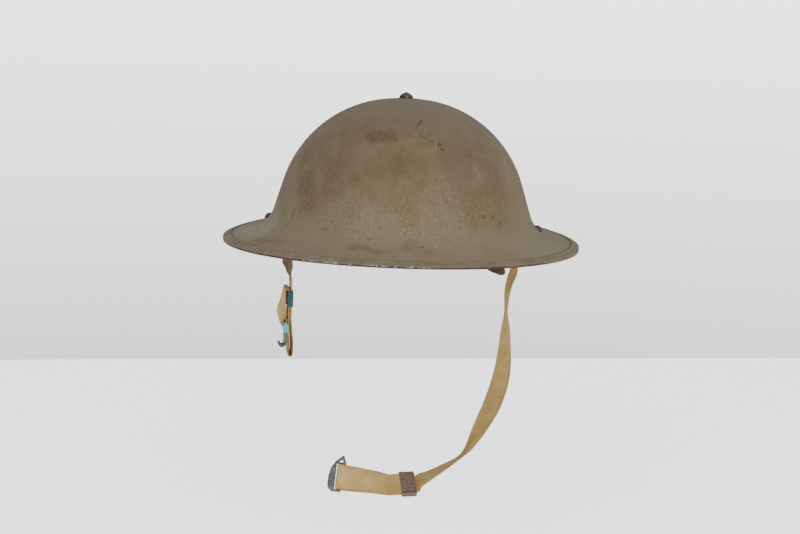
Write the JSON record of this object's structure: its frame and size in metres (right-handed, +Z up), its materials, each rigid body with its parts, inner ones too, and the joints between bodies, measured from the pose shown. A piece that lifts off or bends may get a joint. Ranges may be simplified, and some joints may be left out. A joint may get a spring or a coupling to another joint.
{
  "type": "military helmet",
  "caption": "Wide-brimmed pressed steel helmet with a bolted liner, leather sweatband and a two-part webbing chin strap with hook, adjuster, keeper and end buckle.",
  "frame": {"origin": "centre of the head opening, in the plane of the brim's lower edge, where the wearer's head enters", "axes": "+Z up through the crown, -Y towards the front of the helmet, +X towards the left of a wearer who looks along -Y"},
  "size_m": [0.2824, 0.2994, 0.2983],
  "materials": {
    "olive_paint": "matte sanded olive drab paint over pressed steel",
    "rim_paint": "matte brown paint, worn at the edge",
    "dark_steel": "dull dark plating and old paint",
    "liner_steel": "black varnished spring steel",
    "felt": "pressed wool felt",
    "leather": "aged brown leather",
    "webbing": "woven cotton webbing",
    "tarnished_brass": "brass with a green tarnish",
    "brown_brass": "brass with a brown tarnish"
  },
  "bodies": {
    "helmet": {"shell": "olive_paint", "rim_strip": "rim_paint", "crown_dome_nut": "dark_steel", "cap_washer": "dark_steel", "felt_washer": "felt", "crown_bolt": "dark_steel", "bolt_washer": "dark_steel", "long_arm": "liner_steel", "cross_arm": "liner_steel", "liner_hoop": "liner_steel", "liner_rivets": "liner_steel", "sweatband": "leather", "sweatband_tongue": "leather", "crown_pad": "leather", "right_lug": "dark_steel", "left_lug": "dark_steel", "right_lug_rivet": "dark_steel", "left_lug_rivet": "dark_steel"},
    "left_bail": {"left_bail": "dark_steel"},
    "right_bail": {"right_bail": "dark_steel"},
    "left_strap": {"left_strap": "webbing"},
    "left_adjuster": {"left_adjuster": "tarnished_brass"},
    "left_hook": {"left_hook": "tarnished_brass"},
    "right_strap": {"right_strap": "webbing"},
    "strap_keeper": {"strap_keeper": "brown_brass"},
    "end_buckle": {"end_buckle": "tarnished_brass"}
  },
  "joints": [
    {"name": "left_bail_swing", "type": "hinge", "parent": "helmet", "child": "left_bail", "pos_m": [-0.0933, 0, 0.0075], "axis": [0, 1, 0], "range_deg": [-25, 30]},
    {"name": "right_bail_swing", "type": "hinge", "parent": "helmet", "child": "right_bail", "pos_m": [0.0933, 0, 0.0075], "axis": [0, 1, 0], "range_deg": [-30, 25]},
    {"name": "left_strap_swing", "type": "hinge", "parent": "left_bail", "child": "left_strap", "pos_m": [-0.0933, 0, -0.0045], "axis": [0, 1, 0], "range_deg": [-35, 40]},
    {"name": "right_strap_swing", "type": "hinge", "parent": "right_bail", "child": "right_strap", "pos_m": [0.0933, 0, -0.0045], "axis": [0, 1, 0], "range_deg": [-40, 20]},
    {"name": "adjuster_travel", "type": "slide", "parent": "left_strap", "child": "left_adjuster", "axis": [0, 0, 1], "range_m": [-0.0065, 0]},
    {"name": "hook_swing", "type": "hinge", "parent": "left_strap", "child": "left_hook", "pos_m": [-0.09493, -0.00047, -0.0727], "axis": [-0.2756, 0.9613, 0], "range_deg": [0, 60]},
    {"name": "keeper_travel", "type": "slide", "parent": "right_strap", "child": "strap_keeper", "axis": [-0.9664, -0.2565, -0.0149], "range_m": [0, 0.005]},
    {"name": "end_buckle_swing", "type": "hinge", "parent": "right_strap", "child": "end_buckle", "pos_m": [-0.0311, -0.09264, -0.16987], "axis": [0.0173, 0.5569, 0.8304], "range_deg": [-25, 25]}
  ]
}
